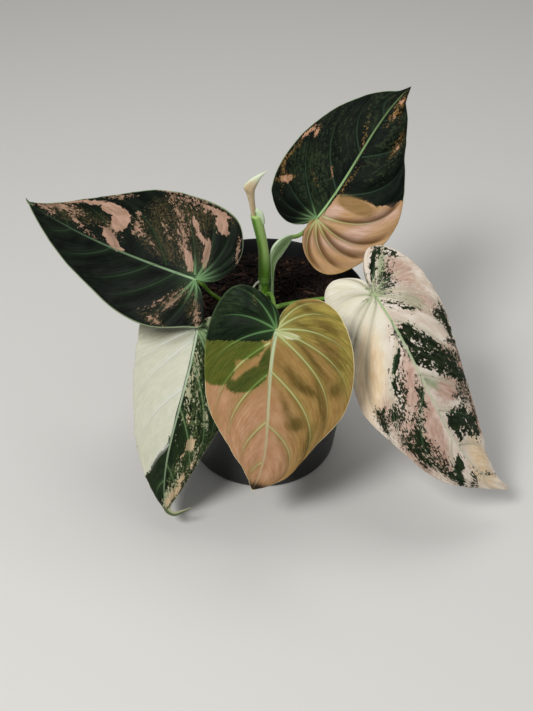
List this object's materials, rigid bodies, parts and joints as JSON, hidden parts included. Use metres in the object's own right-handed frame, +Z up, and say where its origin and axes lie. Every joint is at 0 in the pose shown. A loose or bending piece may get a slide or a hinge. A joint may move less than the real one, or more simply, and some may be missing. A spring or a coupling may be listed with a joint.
{
  "type": "potted philodendron plant",
  "caption": "Potted philodendron with velvety heart-shaped leaves marbled near-black green, cream and salmon, a rolled new leaf and a thin round plastic nursery pot.",
  "frame": {"origin": "centre of the pot's flat underside, on the surface it stands on", "axes": "+Z up; +X to the viewer's right along the widest spread of the leaves; the viewer stands on the -Y side"},
  "size_m": [0.2693, 0.173, 0.1975],
  "materials": {
    "pot": "thin injection-moulded black plastic, satin",
    "potting_mix": "damp dark peat, coir and bark chips, matt",
    "main_stem": "smooth green skin, satin",
    "aerial_root": "pale corky root, matt",
    "shoot_stalk": "smooth green skin with fine streaks, satin",
    "shoot_sheath_lip": "thin pale papery sheath edge",
    "new_leaf": "rolled cream and peach young leaf, satin",
    "winged_sheath": "pale green winged sheath with fine ribs",
    "blade_left": "velvet sheen, near-black green marbled salmon pink",
    "blade_front_left": "velvet sheen, one half cream, one half dark green marbled peach",
    "blade_front": "velvet sheen, bronze tan with pale veins and olive lobes",
    "blade_right": "velvet sheen, cream and dusty pink with dark green blots",
    "blade_back_right": "velvet sheen, near-black green with a salmon lobe",
    "petiole": "smooth bright green leaf stalk, satin"
  },
  "bodies": {
    "root": {"pot": "pot", "potting_mix": "potting_mix", "main_stem": "main_stem", "aerial_root": "aerial_root", "shoot_stalk": "shoot_stalk", "shoot_sheath_lip": "shoot_sheath_lip", "new_leaf": "new_leaf", "winged_sheath": "winged_sheath", "petiole_left": "petiole", "blade_left": "blade_left", "petiole_front_left": "petiole", "blade_front_left": "blade_front_left", "petiole_front": "petiole", "blade_front": "blade_front", "petiole_right": "petiole", "blade_right": "blade_right", "petiole_back_right": "petiole", "blade_back_right": "blade_back_right"}
  },
  "joints": []
}
